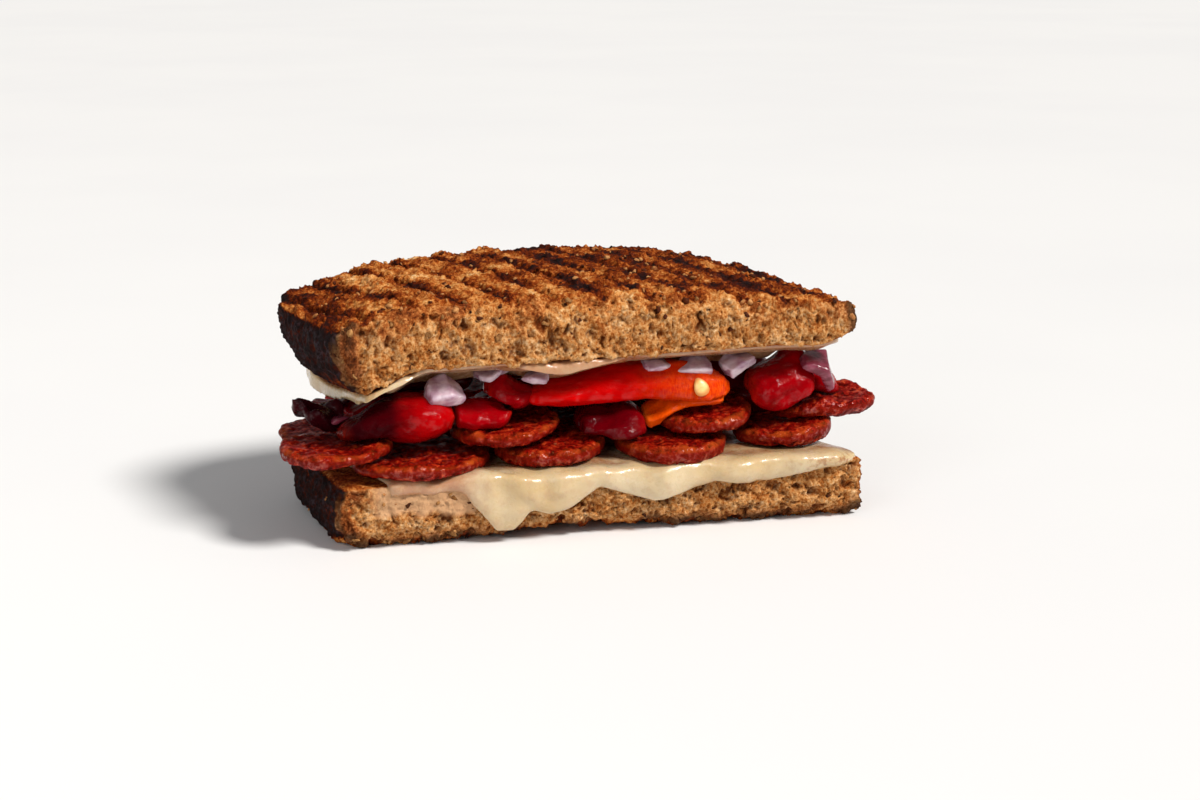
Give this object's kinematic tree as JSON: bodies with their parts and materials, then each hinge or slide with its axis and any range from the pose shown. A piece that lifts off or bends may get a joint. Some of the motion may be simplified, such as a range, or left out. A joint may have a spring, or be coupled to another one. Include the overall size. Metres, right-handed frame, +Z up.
{
  "type": "panini",
  "caption": "Half of a pressed and grilled sandwich on ridged grain bread, with melted cheese, sausage rounds, roasted red pepper and diced red onion.",
  "frame": {"origin": "middle of the bounding box seen from above, at the level the sandwich rests on", "axes": "+X along the cut towards its sharp end, +Y back from the cut face, +Z up"},
  "size_m": [0.1448, 0.083, 0.0579],
  "materials": {
    "toasted_bread": "toasted grain bread, rough and dry",
    "melted_cheese": "melted cheese, soft sheen",
    "fried_sausage": "fried sausage, oily",
    "red_pepper": "roasted red pepper, wet",
    "orange_pepper": "inner side of roasted pepper, wet",
    "red_onion": "diced red onion, moist",
    "pepper_seed": "pepper seed, dry"
  },
  "bodies": {
    "root": {"bread_bottom": "toasted_bread", "bread_top": "toasted_bread", "cheese_bottom": "melted_cheese", "cheese_top": "melted_cheese", "onion_1": "red_onion", "onion_10": "red_onion", "onion_11": "red_onion", "onion_12": "red_onion", "onion_2": "red_onion", "onion_3": "red_onion", "onion_4": "red_onion", "onion_5": "red_onion", "onion_6": "red_onion", "onion_7": "red_onion", "onion_8": "red_onion", "onion_9": "red_onion", "onion_curl": "red_onion", "onion_sliver": "red_onion", "pepper_back_1": "red_pepper", "pepper_back_2": "red_pepper", "pepper_back_3": "red_pepper", "pepper_block": "red_pepper", "pepper_flap": "orange_pepper", "pepper_left": "red_pepper", "pepper_lump": "red_pepper", "pepper_middle_1": "red_pepper", "pepper_middle_2": "red_pepper", "pepper_middle_3": "red_pepper", "pepper_piece": "red_pepper", "pepper_right": "red_pepper", "pepper_scrap": "red_pepper", "pepper_seed": "pepper_seed", "pepper_skin": "red_pepper", "pepper_strip": "red_pepper", "pepper_tuck_1": "red_pepper", "pepper_tuck_2": "red_pepper", "pepper_tuck_3": "red_pepper", "pepper_tuck_4": "red_pepper", "pepper_tuck_5": "red_pepper", "sausage_back_1": "fried_sausage", "sausage_back_2": "fried_sausage", "sausage_front_1": "fried_sausage", "sausage_front_2": "fried_sausage", "sausage_front_3": "fried_sausage", "sausage_front_4": "fried_sausage", "sausage_front_5": "fried_sausage", "sausage_middle_1": "fried_sausage", "sausage_middle_2": "fried_sausage", "sausage_middle_3": "fried_sausage", "sausage_middle_4": "fried_sausage", "sausage_right": "fried_sausage", "sausage_upper_1": "fried_sausage", "sausage_upper_2": "fried_sausage", "sausage_upper_3": "fried_sausage", "sausage_upper_4": "fried_sausage", "sausage_upper_5": "fried_sausage", "sausage_upper_6": "fried_sausage"}
  },
  "joints": []
}
